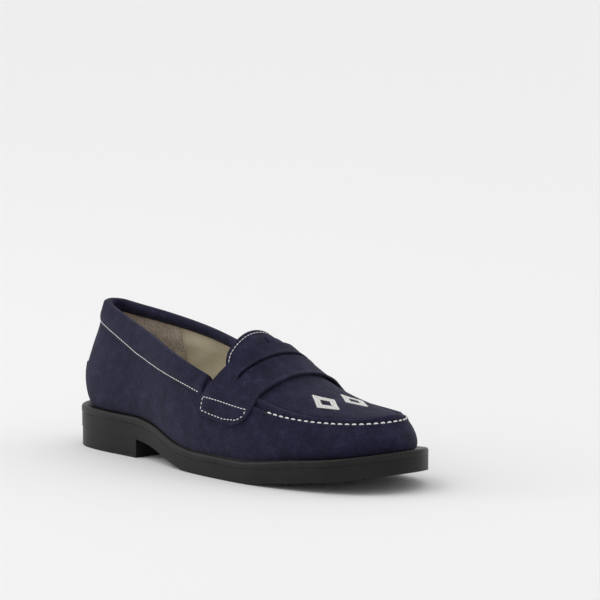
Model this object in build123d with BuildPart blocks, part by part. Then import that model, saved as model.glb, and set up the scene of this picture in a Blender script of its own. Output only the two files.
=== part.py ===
"""Penny loafer, right shoe: suede moccasin upper on a rubber sole with a separate heel.

Frame: +X to the toe, +Y to the inner (medial) side, +Z up. The origin is on the ground,
under the middle of the shoe's length and width. Millimetres.
"""
from build123d import *
import os
import numpy as np

os.makedirs("parts", exist_ok=True)

# ---------------------------------------------------------------- driving dimensions
HALF_LENGTH = 149.0      # half of the outsole's length
HEEL_HEIGHT = 12.5       # ground to the underside of the outsole, at the heel
SOLE_EDGE = 14.3         # outsole and welt together, at the edge
OUTSOLE = 9.5            # rubber outsole alone
HEEL_BREAST_X = -69.0    # front face of the heel
GAP = 0.1                # clearance left between neighbouring flat layers
PLY_GAP = 0.3            # clearance left between the curved layers of the upper
LINING_GAP = 0.5         # clearance left between the upper and its lining
GRID = 96                # stations around the shoe at which the upper is drawn

SUEDE = 1.4              # upper leather
LINING = 1.1             # lining leather
BACKING = 1.4            # heel counter and toe puff
COLLAR_OUT = 2.2         # how far the padded collar stands off the wall
COLLAR_DEPTH = (13.5, 20.0, 17.9)   # at the heel back, the ankle and the strap
STRAP_OFF = 0.7          # strap above the instep surface
STRAP = 1.5
SLIT = 2.2               # width of the coin slit
TONGUE_OFF = -1.1        # tongue below the instep surface
TONGUE = 1.3
TONGUE_LINING = 0.9
INSOLE_BOARD = 2.0
HEEL_PAD = 3.4
SOCK = 1.2
THREAD = 0.8             # width of a stitched line
THREAD_RISE = 0.4        # how far a stitched line stands proud
NAIL_D = 2.2
NAIL_HEAD_D = 5.0

# Plan of the outsole's edge, from the heel back along the outer side to the toe and home.
OUTLINE = [(-149, 1), (-141, -18), (-115, -30), (-64, -34.2), (-19, -44), (31, -49.8), (76, -49.6),
           (113, -40.5), (141, -22.4), (149, 13), (141, 28), (119, 44.3), (76, 50), (46, 48.3),
           (1, 36), (-39, 34.8), (-115, 34), (-141, 21.4)]
TOE_TIP = 9              # place of the toe tip in OUTLINE

# Underside of the outsole in front of the heel: waist, tread and toe spring.
BOTTOM_X = [-69, -49, -24, 1, 26, 51, 86, 119, 149]
BOTTOM_Z = [12.5, 9.7, 3.2, 0, 0, 0, 3.9, 7.4, 12.4]

# Upright profile of the upper at seven stations from the heel back to the toe tip.
STATION = [0, 0.055, 0.16, 0.25, 0.33, 0.42, 0.5, 0.58, 0.67, 0.75, 0.84, 0.945]
TOP_Z = [94.8, 91.8, 77.8, 62.4, 46.6, 42.4, 43.6]          # height of the upper's top edge
TOP_IN = [8.4, 12.7, 3.3, 5.4, 6.1, 7.8, 6.7]               # its inset from the feather line
LOW_OUT = [11.3, 10.3, 7.4, 5.6, 4.7, 3.6, 3.1]             # lower bulge
HIGH_OUT = [-6.3, -5.9, -0.3, 1.3, -1.4, -4.5, -5.5]        # upper bulge
HIGH_AT = [0.62, 0.69, 0.74, 0.88, 0.99, 0.98, 0.98]        # height of the upper bulge
FEATHER = [6.2, 6.2, 2.9, 2.9, 4.6, 7.5, 7.5, 7.5, 4.6, 2.9, 2.9, 6.2]   # width of the welt ledge
LOW_AT = 0.35

# Crown of the instep above a straight line between its two side edges.
CROWN_X = [-31, -14, 1, 21, 46, 76, 106, 143]
CROWN_Z = [30, 31, 32, 30.4, 21.2, 13.3, 7.8, 0.6]
CROWN_POWER = 2.2

# Side views (x, z) of the strap's edges, the slit and the tongue.
STRAP_REAR = [(9.6, 41.4), (9.8, 49.9), (12.8, 52.6), (15.4, 59), (24.6, 73.3), (30.5, 78.5), (32.2, 84),
              (32.4, 92)]
STRAP_FRONT = [(58.8, 75), (59.2, 66), (58.8, 61.6), (56.7, 56.9), (54.6, 53.5), (55.6, 49), (54.8, 43),
               (51.6, 39.5)]
STRAP_FOOT = [(47.9, 37.3), (43.4, 36), (35.3, 36.4), (22.7, 38.4), (11.3, 40)]
SLIT_LINE = [(34.4, 60.8), (35.4, 66), (39.2, 70.9), (42, 75), (41.6, 84)]
TONGUE_SIDE = [(20.5, 68), (16.5, 73.7), (14.8, 78.6), (15.5, 86), (15.5, 100), (30, 100), (30, 68)]
WING_BOX = [(14.6, 50.2), (53.5, 44.2), (46.5, 38.9), (13.2, 42.4)]
LOZENGES = [(91, -13), (97, 6)]      # middles of the two embroidered lozenges, in plan
LOZENGE_HALF = (13.0, 7.5)


# ---------------------------------------------------------------- curves and surfaces
def curve(keys, values):
    """Natural cubic spline through the values, as a function."""
    keys = np.asarray(keys, float)
    values = np.asarray(values, float)
    step = np.diff(keys)
    rows = np.eye(len(keys))
    load = np.zeros_like(values)
    for i in range(1, len(keys) - 1):
        rows[i, i - 1:i + 2] = step[i - 1], 2 * (step[i - 1] + step[i]), step[i]
        load[i] = 6 * ((values[i + 1] - values[i]) / step[i] - (values[i] - values[i - 1]) / step[i - 1])
    bend = np.linalg.solve(rows, load)

    def at(x):
        x = np.asarray(x, float)
        k = np.clip(np.searchsorted(keys, x) - 1, 0, len(keys) - 2)
        h = step[k]
        a = (keys[k + 1] - x) / h
        b = (x - keys[k]) / h
        if values.ndim > 1:
            a, b, h = a[..., None], b[..., None], h[..., None]
        cubic = ((a**3 - a) * bend[k] + (b**3 - b) * bend[k + 1]) * h * h / 6
        return a * values[k] + b * values[k + 1] + cubic
    return at


def ring_curve(keys, values):
    """The same spline closed on itself, with a period of 1."""
    keys = np.asarray(keys, float)
    values = np.asarray(values, float)
    keys = np.r_[keys[-4:] - 1, keys, keys[:4] + 1]
    values = np.concatenate([values[-4:], values, values[:4]])
    open_curve = curve(keys, values)
    return lambda s: open_curve(np.asarray(s, float) % 1.0)


def both_sides(values):
    """A station curve whose inner side repeats its outer side."""
    return ring_curve(STATION, values + values[5:0:-1])


def edge_stations():
    """Station of each outline point: 0 at the heel back, 0.5 at the toe tip."""
    points = np.array(OUTLINE + OUTLINE[:1], float)
    run = np.r_[0, np.cumsum(np.linalg.norm(np.diff(points, axis=0), axis=1))]
    tip = run[TOE_TIP]
    outer = 0.5 * run / tip
    inner = 0.5 + 0.5 * (run - tip) / (run[-1] - tip)
    return np.where(run <= tip, outer, inner)[:-1]


edge = ring_curve(edge_stations(), OUTLINE)
feather = ring_curve(STATION, FEATHER)
top_z = both_sides(TOP_Z)
top_in = both_sides(TOP_IN)
low_out = both_sides(LOW_OUT)
high_out = both_sides(HIGH_OUT)
high_at = both_sides(HIGH_AT)
crown = curve(CROWN_X, CROWN_Z)
tread = curve(BOTTOM_X, BOTTOM_Z)


def sole_bottom(x):
    """Height of the outsole's underside."""
    return np.where(np.asarray(x) < HEEL_BREAST_X, HEEL_HEIGHT, tread(np.maximum(x, HEEL_BREAST_X)))


def outward(s):
    """Unit vector out of the outline at station s, in plan."""
    along = edge(s + 1e-4) - edge(s - 1e-4)
    out = np.stack([along[..., 1], -along[..., 0]], -1)
    return out / np.linalg.norm(out, axis=-1, keepdims=True)


def inset_edge(s, inset):
    """Outline point moved inwards."""
    return edge(s) - np.asarray(inset)[..., None] * outward(s)


def wall(s, t, off=0.0):
    """Upper's wall at station s and height share t, as (out, z) from the feather line."""
    foot_z = sole_bottom(inset_edge(s, feather(s))[..., 0]) + SOLE_EDGE + GAP
    rise = top_z(s) - foot_z
    out_at = [0 * rise, low_out(s), high_out(s), -top_in(s)]
    z_at = [foot_z, foot_z + LOW_AT * rise, foot_z + high_at(s) * rise, top_z(s)]
    weight = [(1 - t)**3, 3 * t * (1 - t)**2, 3 * t * t * (1 - t), t**3]
    slope = [3 * (1 - t)**2, 6 * t * (1 - t), 3 * t * t]
    out = sum(w * v for w, v in zip(weight, out_at))
    z = sum(w * v for w, v in zip(weight, z_at))
    d_out = sum(w * (b - a) for w, a, b in zip(slope, out_at, out_at[1:]))
    d_z = sum(w * (b - a) for w, a, b in zip(slope, z_at, z_at[1:]))
    length = np.hypot(d_out, d_z)
    return np.stack([out + off * d_z / length, z - off * d_out / length], -1)


def wall_point(s, t, off=0.0):
    """The same point in space."""
    out_z = wall(s, t, off)
    plan = inset_edge(s, feather(s)) + out_z[..., :1] * outward(s)
    return np.concatenate([plan, out_z[..., 1:]], -1)


OUTER_S = np.linspace(0.02, 0.497, 240)
INNER_S = np.linspace(0.98, 0.503, 240)


def wall_at_x(x, t, stations):
    """(y, z) where the wall's height share t crosses the plane at x."""
    points = wall_point(stations, np.full_like(stations, t))
    return np.array([np.interp(x, points[:, 0], points[:, 1]), np.interp(x, points[:, 0], points[:, 2])])


def instep_point(x, w):
    """(y, z) of the instep between its side edges, w from -1 outside to 1 inside."""
    outer = wall_at_x(x, 1.0, OUTER_S)
    inner = wall_at_x(x, 1.0, INNER_S)
    share = (w + 1) / 2
    y = outer[0] + share * (inner[0] - outer[0])
    z = outer[1] + share * (inner[1] - outer[1]) + crown(x) * (1 - abs(w)**CROWN_POWER)
    return np.array([y, z])


def shifted(path, off):
    """A (y, z) path moved by off along its own normal, away from the foot."""
    along = np.gradient(path, axis=0)
    normal = np.stack([-along[:, 1], along[:, 0]], -1)
    return path + off * normal / np.linalg.norm(normal, axis=1, keepdims=True)


def arch(x, low=0.25):
    """Smooth (y, z) path at x: up the outer wall, over the instep and down the inner wall."""
    rise = np.linspace(low, 0.97, 12)
    across = np.linspace(-1, 1, 41)
    outer = [wall_at_x(x, t, OUTER_S) for t in rise]
    top = [instep_point(x, w) for w in across]
    inner = [wall_at_x(x, t, INNER_S) for t in rise[::-1]]
    rough = np.array(outer + top + inner)
    run = np.r_[0, np.cumsum(np.linalg.norm(np.diff(rough, axis=0), axis=1))]
    even = np.linspace(0, run[-1], 121)
    path = np.stack([np.interp(even, run, rough[:, i]) for i in (0, 1)], -1)
    soft = path.copy()
    for _ in range(12):
        soft[1:-1] = (soft[:-2] + 2 * soft[1:-1] + soft[2:]) / 4
    return soft


# ---------------------------------------------------------------- section builders
def upright(s):
    """Upright plane square to the outline: x outward from the feather line, y up."""
    x, y = inset_edge(s, feather(s))
    nx, ny = outward(s)
    return Plane(origin=(x, y, 0), x_dir=(nx, ny, 0), z_dir=(ny, -nx, 0))


def thin_section(plane, outside, inside):
    """Closed profile between an outside and an inside row of points."""
    outside = [tuple(map(float, p)) for p in outside]
    inside = [tuple(map(float, p)) for p in inside]
    with BuildSketch(plane) as section:
        with BuildLine():
            Spline(*outside)
            Line(outside[-1], inside[-1])
            Spline(*inside[::-1])
            Line(inside[0], outside[0])
        make_face()
    return section.sketch


def grid_stations(start, end):
    """The common grid's stations between two ends, so that neighbouring layers run parallel."""
    first = int(np.floor(start * GRID + 0.3)) + 1
    last = int(np.ceil(end * GRID - 0.3)) - 1
    return [start, *(np.arange(first, last + 1) / GRID), end]


def wall_sections(start, end, t_low, t_high, off_in, off_out, points=11):
    """Sections of a layer of the upper from station start to end."""
    sections = []
    for s in grid_stations(start, end):
        t = np.linspace(t_low(s), t_high(s), points)
        inside = wall(np.full(points, s), t, off_in(s, t))
        outside = wall(np.full(points, s), t, off_out(s, t))
        sections.append(thin_section(upright(s), outside, inside))
    return sections


def instep_sections(x_values, off_in, off_out, low=0.25, points=25):
    """Sections of a layer that arches over the instep, one for each x."""
    pick = np.linspace(0, 120, points).round().astype(int)
    sections = []
    for x in x_values:
        path = arch(x, low)
        plane = Plane(origin=(x, 0, 0), x_dir=(0, 1, 0), z_dir=(1, 0, 0))
        sections.append(thin_section(plane, shifted(path, off_out)[pick], shifted(path, off_in)[pick]))
    return sections


def apron_sections(x_values, off_in, off_out, margin, points=13):
    """Sections of a layer on top of the forefoot, inside the moccasin seam."""
    sections = []
    for x in x_values:
        width = wall_at_x(x, 1.0, INNER_S)[0] - wall_at_x(x, 1.0, OUTER_S)[0]
        reach = 1 - 2 * margin / width
        path = np.array([instep_point(x, w) for w in np.linspace(-reach, reach, points)])
        plane = Plane(origin=(x, 0, 0), x_dir=(0, 1, 0), z_dir=(1, 0, 0))
        sections.append(thin_section(plane, shifted(path, off_out), shifted(path, off_in)))
    return sections


def plan_face(inset, count=40):
    """Face inside the outline, at an inset that may change with the station."""
    stations = np.linspace(0, 1, count, endpoint=False)
    points = inset_edge(stations, inset(stations))
    with BuildSketch(Plane.XY) as face:
        with BuildLine():
            Spline(*[tuple(map(float, p)) for p in points], periodic=True)
        make_face()
    return face.sketch


def side_face(low, high, x_from, x_to):
    """Side view of a sole layer, between two heights above the outsole's underside."""
    heel = [x_from] if x_from < HEEL_BREAST_X else []
    start = max(x_from, HEEL_BREAST_X)
    front = np.linspace(start, x_to, 4 + int((x_to - start) / 6))
    lower = [(float(x), float(sole_bottom(x) + low)) for x in front]
    upper = [(float(x), float(sole_bottom(x) + high)) for x in front]
    with BuildSketch(Plane.XZ) as face:
        with BuildLine():
            for x in heel:
                Line((x, HEEL_HEIGHT + high), upper[0])
                Line((x, HEEL_HEIGHT + low), lower[0])
            Spline(*lower)
            Spline(*upper)
            Line(lower[-1], upper[-1])
            first = (x_from, HEEL_HEIGHT) if heel else (x_from, float(sole_bottom(x_from)))
            Line((first[0], first[1] + low), (first[0], first[1] + high))
        make_face()
    return face.sketch


def save(builder, name):
    """Label a finished piece and write it."""
    builder.part.label = name
    export_step(builder.part, f"parts/{name}.step")


def level(value):
    """A constant as a function of the station."""
    return lambda *place: 0 * np.asarray(place[0], float) + value


def smooth_step(x, start, end):
    """0 before start, 1 after end, smooth between."""
    u = np.clip((np.asarray(x, float) - start) / (end - start), 0, 1)
    return u * u * (3 - 2 * u)


def backing_depth(s, t):
    """How far the lining is pushed in by the heel counter or the toe puff."""
    round_heel = np.minimum(s % 1.0, 1 - s % 1.0)
    near_heel = 1 - smooth_step(round_heel, 0.13, 0.18)
    near_toe = smooth_step(round_heel, 0.36, 0.41)
    low_part = 1 - smooth_step(t, 0.68, 0.86)
    return (BACKING + PLY_GAP) * np.maximum(near_heel, near_toe) * low_part


def lining_out(s, t):
    return -SUEDE - LINING_GAP - backing_depth(s, t)


def lining_drop(s):
    """How far the lining stops below the wall's top: more on the forefoot, under the seam."""
    from_back = np.minimum(s % 1.0, 1 - s % 1.0)
    return 0.01 + 0.11 * smooth_step(from_back, 0.30, 0.36)


def lining_in(s, t):
    return lining_out(s, t) - LINING


def collar_foot(s):
    """Height share of the collar's lower edge."""
    from_back = np.minimum(s % 1.0, 1 - s % 1.0)
    depth = np.interp(from_back, [0, 0.13, 0.26], COLLAR_DEPTH)
    foot_z = sole_bottom(inset_edge(s, feather(s))[..., 0]) + SOLE_EDGE
    return 1 - 0.92 * depth / (top_z(s) - foot_z)


# ---------------------------------------------------------------- sole
FULL = (-HALF_LENGTH - 3, HALF_LENGTH + 3)
NAILS = [(-133, 1), (-119, -17), (-119, 19), (-93, -21), (-93, 23)]

with BuildPart() as outsole:
    with BuildSketch(Plane.XY):
        add(plan_face(level(0.0)))
    extrude(amount=60)
    with BuildSketch(Plane.XZ):
        add(side_face(0.0, OUTSOLE, *FULL))
    extrude(amount=80, both=True, mode=Mode.INTERSECT)
    with Locations(*[(x, y, HEEL_HEIGHT + OUTSOLE) for x, y in NAILS]):
        CounterBoreHole(NAIL_D / 2 + GAP, NAIL_HEAD_D / 2 + GAP, 1.4, OUTSOLE + 1)
save(outsole, "outsole")

with BuildPart() as heel_block:
    with BuildSketch(Plane.XY):
        add(plan_face(level(0.4)))
    extrude(amount=HEEL_HEIGHT - GAP / 2)
    split(bisect_by=Plane(origin=(HEEL_BREAST_X, 0, 0), z_dir=(-1, 0, 0)))
    with Locations(*[(x, y, HEEL_HEIGHT - GAP / 2) for x, y in NAILS]):
        Hole(NAIL_D / 2 + GAP, depth=9)
save(heel_block, "heel_block")

with BuildPart() as heel_nails:
    with BuildSketch(Plane.XY.offset(HEEL_HEIGHT - 8.5)):
        with Locations(*NAILS):
            Circle(NAIL_D / 2)
    extrude(amount=8.5 + OUTSOLE - 1.0)
    with BuildSketch(Plane.XY.offset(HEEL_HEIGHT + OUTSOLE - 1.3)):
        with Locations(*NAILS):
            Circle(NAIL_HEAD_D / 2)
    extrude(amount=1.2)
save(heel_nails, "heel_nails")


def filler_inset(s):
    return feather(s) + 9.0


with BuildPart() as welt:
    with BuildSketch(Plane.XY):
        add(plan_face(level(0.0)))
        add(plan_face(filler_inset), mode=Mode.SUBTRACT)
    extrude(amount=60)
    with BuildSketch(Plane.XZ):
        add(side_face(OUTSOLE + GAP, SOLE_EDGE, *FULL))
    extrude(amount=80, both=True, mode=Mode.INTERSECT)
save(welt, "welt")

SHANK_X = (-112, -12)
SHANK_Z = (OUTSOLE + 1.2, OUTSOLE + 2.8)
SHANK_WIDTH = 13.0

with BuildPart() as steel_shank:
    with BuildSketch(Plane.XZ):
        add(side_face(*SHANK_Z, *SHANK_X))
    extrude(amount=SHANK_WIDTH / 2, both=True)
save(steel_shank, "steel_shank")

with BuildPart() as cork_filler:
    with BuildSketch(Plane.XY):
        add(plan_face(lambda s: filler_inset(s) + GAP))
    extrude(amount=60)
    with BuildSketch(Plane.XZ):
        add(side_face(OUTSOLE + GAP, SOLE_EDGE - GAP, *FULL))
    extrude(amount=80, both=True, mode=Mode.INTERSECT)
    with BuildSketch(Plane.XZ):
        add(side_face(SHANK_Z[0] - GAP, SHANK_Z[1] + GAP, SHANK_X[0] - GAP, SHANK_X[1] + GAP))
    extrude(amount=SHANK_WIDTH / 2 + GAP, both=True, mode=Mode.SUBTRACT)
save(cork_filler, "cork_filler")

BOARD_Z = SOLE_EDGE + GAP
PAD_Z = BOARD_Z + INSOLE_BOARD + GAP
PAD_END_X = -62.0        # front end of the heel pad
SLOPE = 40.0             # length over which the sock lining comes down in front of it


def sock_height(x):
    """Underside of the sock lining above the outsole's underside: over the pad, then down."""
    return PAD_Z + (HEEL_PAD + GAP) * (1 - smooth_step(x, PAD_END_X + 1, PAD_END_X + SLOPE))


with BuildPart() as insole_board:
    with BuildSketch(Plane.XY):
        add(plan_face(lambda s: feather(s) + 5.4))
    extrude(amount=60)
    with BuildSketch(Plane.XZ):
        add(side_face(BOARD_Z, BOARD_Z + INSOLE_BOARD, *FULL))
    extrude(amount=80, both=True, mode=Mode.INTERSECT)
save(insole_board, "insole_board")

with BuildPart() as heel_pad:
    with BuildSketch(Plane.XY):
        add(plan_face(lambda s: feather(s) + 8.0))
    extrude(amount=60)
    with BuildSketch(Plane.XZ):
        add(side_face(PAD_Z, PAD_Z + HEEL_PAD, FULL[0], PAD_END_X))
    extrude(amount=80, both=True, mode=Mode.INTERSECT)
save(heel_pad, "heel_pad")

with BuildPart() as sock_lining:
    with BuildSketch(Plane.XY):
        add(plan_face(lambda s: feather(s) + 6.2))
    extrude(amount=60)
    with BuildSketch(Plane.XZ):
        with BuildLine():
            length = np.linspace(HEEL_BREAST_X, FULL[1], 26)
            low = [(float(x), float(sole_bottom(x) + sock_height(x))) for x in length]
            high = [(x, z + SOCK) for x, z in low]
            back = (FULL[0], low[0][1])
            Line(back, low[0])
            Spline(*low)
            Line(low[-1], high[-1])
            Spline(*high[::-1])
            Line(high[0], (back[0], back[1] + SOCK))
            Line((back[0], back[1] + SOCK), back)
        make_face()
    extrude(amount=80, both=True, mode=Mode.INTERSECT)
save(sock_lining, "sock_lining")

# ---------------------------------------------------------------- upper and its inner layers
BACK_SEAM = 0.0012       # half of the gap at the back seam, as a station
RIM_DROP = 0.045         # the wall ends this share below the collar's rim
GRIP_S = 11 / GRID           # the heel grip's front seam
VAMP_S = 29 / GRID       # where the front lining begins


def wall_top(s):
    """The wall ends under the collar's fold, and reaches the seam on the forefoot."""
    from_back = np.minimum(s % 1.0, 1 - s % 1.0)
    return 1 - RIM_DROP * (1 - smooth_step(from_back, 0.26, 0.31))


with BuildPart() as vamp_wall:
    loft(wall_sections(BACK_SEAM, 1 - BACK_SEAM, level(0.0), wall_top, level(-SUEDE), level(0.0), points=13))
save(vamp_wall, "vamp_wall")

BACKING_IN = level(-SUEDE - PLY_GAP - BACKING)
BACKING_OUT = level(-SUEDE - PLY_GAP)

with BuildPart() as heel_counter:
    loft(wall_sections(-12 / GRID, 12 / GRID, level(0.03), level(0.60), BACKING_IN, BACKING_OUT))
save(heel_counter, "heel_counter")

with BuildPart() as toe_puff:
    loft(wall_sections(0.415, 0.585, level(0.03), level(0.60), BACKING_IN, BACKING_OUT))
save(toe_puff, "toe_puff")


def lining_top(s):
    return wall_top(s) - lining_drop(s)


SEAM = 0.0006            # gap at a lining seam, as a station
LININGS = {
    "heel_grip_lining": (-GRIP_S, GRIP_S),
    "quarter_lining_outer": (GRIP_S + SEAM, VAMP_S),
    "quarter_lining_inner": (1 - VAMP_S, 1 - GRIP_S - SEAM),
    "vamp_lining": (VAMP_S + SEAM, 1 - VAMP_S - SEAM),
}
for name, (start, end) in LININGS.items():
    with BuildPart() as lining:
        loft(wall_sections(start, end, level(0.05), lining_top, lining_in, lining_out, points=14))
    save(lining, name)

STRIP_HALF = 0.019       # half widths of the heel strips, as stations
BACKSTAY_HALF = 0.021

with BuildPart() as back_seam_strip:
    loft(wall_sections(-STRIP_HALF, STRIP_HALF, level(0.41), lambda s: collar_foot(s) - 0.015,
                       level(PLY_GAP), level(1.0)))
save(back_seam_strip, "back_seam_strip")

with BuildPart() as backstay:
    loft(wall_sections(-BACKSTAY_HALF, BACKSTAY_HALF, level(0.05), level(0.39), level(PLY_GAP), level(1.9)))
save(backstay, "backstay")


COLLAR_IN = SUEDE + LINING_GAP + LINING + PLY_GAP
COLLAR_SKIN = 1.1
COLLAR_END = 24 / GRID


def collar_section(s):
    """Folded collar: up the outside, over the rim and a few millimetres down the inside."""
    t_out = np.linspace(collar_foot(s), 0.985, 9)
    t_in = np.array([0.985, 0.97, 0.95, 0.92])
    rim = wall(s, 1.0, (COLLAR_OUT - COLLAR_IN - COLLAR_SKIN) / 2)

    def fold(off_out, lift, off_in):
        up = wall(np.full(len(t_out), s), t_out, off_out)
        down = wall(np.full(len(t_in), s), t_in, off_in)
        return [*up, rim + (0, lift), *down]
    outside = fold(COLLAR_OUT, 1.7, -COLLAR_IN - COLLAR_SKIN)
    inside = fold(PLY_GAP + 0.2, 0.5, -COLLAR_IN)
    return thin_section(upright(s), outside, inside)


with BuildPart() as topline_collar:
    loft([collar_section(s) for s in grid_stations(-COLLAR_END, COLLAR_END)])
save(topline_collar, "topline_collar")

# ---------------------------------------------------------------- apron, strap and tongue
APRON_X = [33, 45, 58, 72, 86, 98, 108, 116, 122, 127, 130.5, 132.8]
APRON_MARGIN = 0.6

with BuildPart() as apron_plug:
    loft(apron_sections(APRON_X, -SUEDE, 0.0, APRON_MARGIN))
save(apron_plug, "apron_plug")

with BuildPart() as apron_lining:
    loft(apron_sections(APRON_X[:-3], -SUEDE - PLY_GAP - LINING, -SUEDE - PLY_GAP, 6.0))
save(apron_lining, "apron_lining")

STRAP_X = np.linspace(7, 62, 12)
with BuildPart() as saddle_strap:
    loft(instep_sections(STRAP_X, STRAP_OFF, STRAP_OFF + STRAP))
    with BuildSketch(Plane.XZ):
        with BuildLine():
            Spline(*STRAP_REAR)
            Line(STRAP_REAR[-1], STRAP_FRONT[0])
            Spline(*STRAP_FRONT)
            Spline(STRAP_FRONT[-1], *STRAP_FOOT)
            Line(STRAP_FOOT[-1], STRAP_REAR[0])
        make_face()
    extrude(amount=80, both=True, mode=Mode.INTERSECT)
    with BuildSketch(Plane.XZ):
        with BuildLine():
            Spline(*SLIT_LINE)
        trace(line_width=SLIT)
    extrude(amount=80, both=True, mode=Mode.SUBTRACT)
save(saddle_strap, "saddle_strap")

TONGUE_X = np.linspace(13, 32, 7)


def tongue_part(name, off_in, off_out):
    """A layer of the tongue, cut to its side view."""
    with BuildPart() as layer:
        loft(instep_sections(TONGUE_X, off_in, off_out))
        with BuildSketch(Plane.XZ):
            with BuildLine():
                Polyline(*TONGUE_SIDE, close=True)
            make_face()
        extrude(amount=80, both=True, mode=Mode.INTERSECT)
    save(layer, name)


tongue_part("tongue", TONGUE_OFF - TONGUE, TONGUE_OFF)
tongue_part("tongue_lining", TONGUE_OFF - TONGUE - GAP - TONGUE_LINING, TONGUE_OFF - TONGUE - GAP)

# ---------------------------------------------------------------- threads and embroidery
with BuildPart() as tongue_stitching:
    loft(instep_sections(np.linspace(17.4, 17.4 + THREAD, 2), TONGUE_OFF + GAP / 2, TONGUE_OFF + THREAD_RISE))
    with BuildSketch(Plane.XZ):
        with Locations((18, 85)):
            Rectangle(10, 26)
    extrude(amount=80, both=True, mode=Mode.INTERSECT)
save(tongue_stitching, "tongue_stitching")

STITCH_SHARE = THREAD / 62      # a thread's width as a share of the wall's height


def stitch_foot(s):
    return collar_foot(s) + 0.03


COLLAR_THREAD_OFF = COLLAR_OUT + PLY_GAP + GAP

with BuildPart() as collar_stitching:
    loft(wall_sections(-23 / GRID, 23 / GRID, stitch_foot, lambda s: stitch_foot(s) + STITCH_SHARE,
                       level(COLLAR_THREAD_OFF), level(COLLAR_THREAD_OFF + THREAD_RISE), points=3))
save(collar_stitching, "collar_stitching")

with BuildPart() as moc_seam_thread:
    loft(wall_sections(0.347, 0.653, level(0.90), level(0.94), level(GAP), level(0.9), points=3))
save(moc_seam_thread, "moc_seam_thread")

with BuildPart() as strap_stitching:
    loft(instep_sections(STRAP_X[1:-1], STRAP_OFF + STRAP + GAP / 2, STRAP_OFF + STRAP + THREAD_RISE))
    with BuildSketch(Plane.XZ):
        with BuildLine():
            Polyline(*WING_BOX, close=True)
        make_face()
        offset(amount=-THREAD, mode=Mode.SUBTRACT)
    extrude(amount=80, both=True, mode=Mode.INTERSECT)
save(strap_stitching, "strap_stitching")


def lozenge_sketch():
    """Two plain lozenges side by side."""
    half_x, half_y = LOZENGE_HALF
    with BuildSketch(Plane.XY) as lozenges:
        for x, y in LOZENGES:
            with BuildLine():
                Polyline((x - half_x, y), (x, y + half_y), (x + half_x, y), (x, y - half_y), close=True)
            make_face()
    return lozenges.sketch


with BuildPart() as embroidered_motif:
    loft(apron_sections([76, 86, 96, 106, 112], GAP / 2, 0.6, 4.0))
    with BuildSketch(Plane.XY):
        add(lozenge_sketch())
    extrude(amount=80, mode=Mode.INTERSECT)
save(embroidered_motif, "embroidered_motif")
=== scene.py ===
"""Looks of the penny loafer: suede upper, stitches, linings, welt and materials.

Lengths are millimetres in the shoe's own frame until a mesh is made, which is in metres.
"""
import math
import bpy
import numpy as np
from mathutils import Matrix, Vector


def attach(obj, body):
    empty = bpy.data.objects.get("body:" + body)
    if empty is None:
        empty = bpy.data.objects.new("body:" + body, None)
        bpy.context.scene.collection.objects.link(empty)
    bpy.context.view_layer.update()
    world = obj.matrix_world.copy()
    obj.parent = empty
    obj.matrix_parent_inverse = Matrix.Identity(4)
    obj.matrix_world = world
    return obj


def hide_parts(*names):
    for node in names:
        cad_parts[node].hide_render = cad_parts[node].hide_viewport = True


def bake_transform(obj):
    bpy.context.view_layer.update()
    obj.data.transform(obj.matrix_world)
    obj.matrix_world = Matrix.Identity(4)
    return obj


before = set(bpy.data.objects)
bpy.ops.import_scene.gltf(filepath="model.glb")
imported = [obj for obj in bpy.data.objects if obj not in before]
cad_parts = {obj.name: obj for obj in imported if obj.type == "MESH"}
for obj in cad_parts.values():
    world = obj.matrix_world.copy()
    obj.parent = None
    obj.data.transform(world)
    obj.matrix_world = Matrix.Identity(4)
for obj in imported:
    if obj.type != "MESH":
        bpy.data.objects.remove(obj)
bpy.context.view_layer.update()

MM = 0.001
SHOE = "shoe"
TONGUE_BODY = "tongue"

# ---------------------------------------------------------------- dimensions shared with the CAD model
HEEL_HEIGHT = 12.5       # ground to the underside of the outsole, at the heel
SOLE_EDGE = 14.3         # outsole and welt together, at the edge
OUTSOLE = 9.5            # rubber outsole alone
HEEL_BREAST_X = -69.0    # front face of the heel
GAP = 0.1                # clearance left between neighbouring flat layers
PLY_GAP = 0.3            # clearance left between the curved layers of the upper
LINING_GAP = 0.5         # clearance left between the upper and its lining
GRID = 96                # stations around the shoe at which the upper is drawn

SUEDE = 1.4              # upper leather
LINING = 1.1             # lining leather
BACKING = 1.4            # heel counter and toe puff
COLLAR_DEPTH = (13.5, 20.0, 17.9)   # at the heel back, the ankle and the strap
STRAP_OFF = 0.7          # strap above the instep surface
STRAP = 1.5
TONGUE_OFF = -1.1        # tongue below the instep surface
TONGUE = 1.3
TONGUE_LINING = 0.9

# Plan of the outsole's edge, from the heel back along the outer side to the toe and home.
OUTLINE = [(-149, 1), (-141, -18), (-115, -30), (-64, -34.2), (-19, -44), (31, -49.8), (76, -49.6),
           (113, -40.5), (141, -22.4), (149, 13), (141, 28), (119, 44.3), (76, 50), (46, 48.3),
           (1, 36), (-39, 34.8), (-115, 34), (-141, 21.4)]
TOE_TIP = 9              # place of the toe tip in OUTLINE

# Underside of the outsole in front of the heel: waist, tread and toe spring.
BOTTOM_X = [-69, -49, -24, 1, 26, 51, 86, 119, 149]
BOTTOM_Z = [12.5, 9.7, 3.2, 0, 0, 0, 3.9, 7.4, 12.4]

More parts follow.
